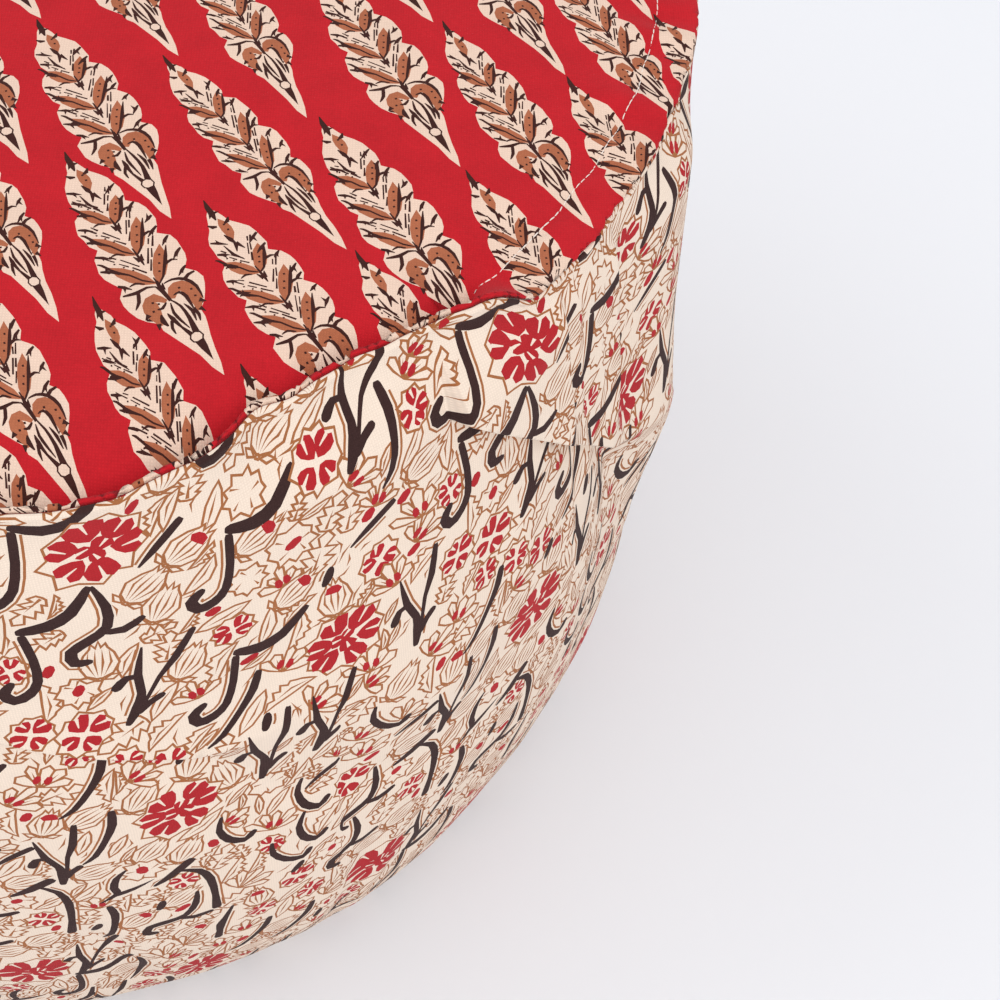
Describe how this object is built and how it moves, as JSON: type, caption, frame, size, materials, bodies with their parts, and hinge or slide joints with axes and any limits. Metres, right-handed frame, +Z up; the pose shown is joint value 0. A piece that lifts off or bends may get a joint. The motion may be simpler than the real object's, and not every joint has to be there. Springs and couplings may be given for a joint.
{
  "type": "round pouf",
  "caption": "Round filled pouf with a printed side band drawn in at the foot and a flat printed top whose topstitched rim flange stands up as a wavy ridge.",
  "frame": {"origin": "middle of the base, on the floor", "axes": "+Z up along the pouf's axis; the front, where the rim flange stands up, faces -Y, and the stretch where it lies flat faces +X"},
  "size_m": [0.506, 0.5094, 0.338],
  "materials": {
    "cream_print": "matt plain-weave cotton, cream ground block-printed in brown, black and red",
    "red_print": "matt plain-weave cotton, red ground block-printed with cream leaves",
    "plain_canvas": "matt undyed cotton canvas"
  },
  "bodies": {
    "root": {"side_band": "cream_print", "top_panel": "red_print", "base_panel": "plain_canvas"}
  },
  "joints": []
}
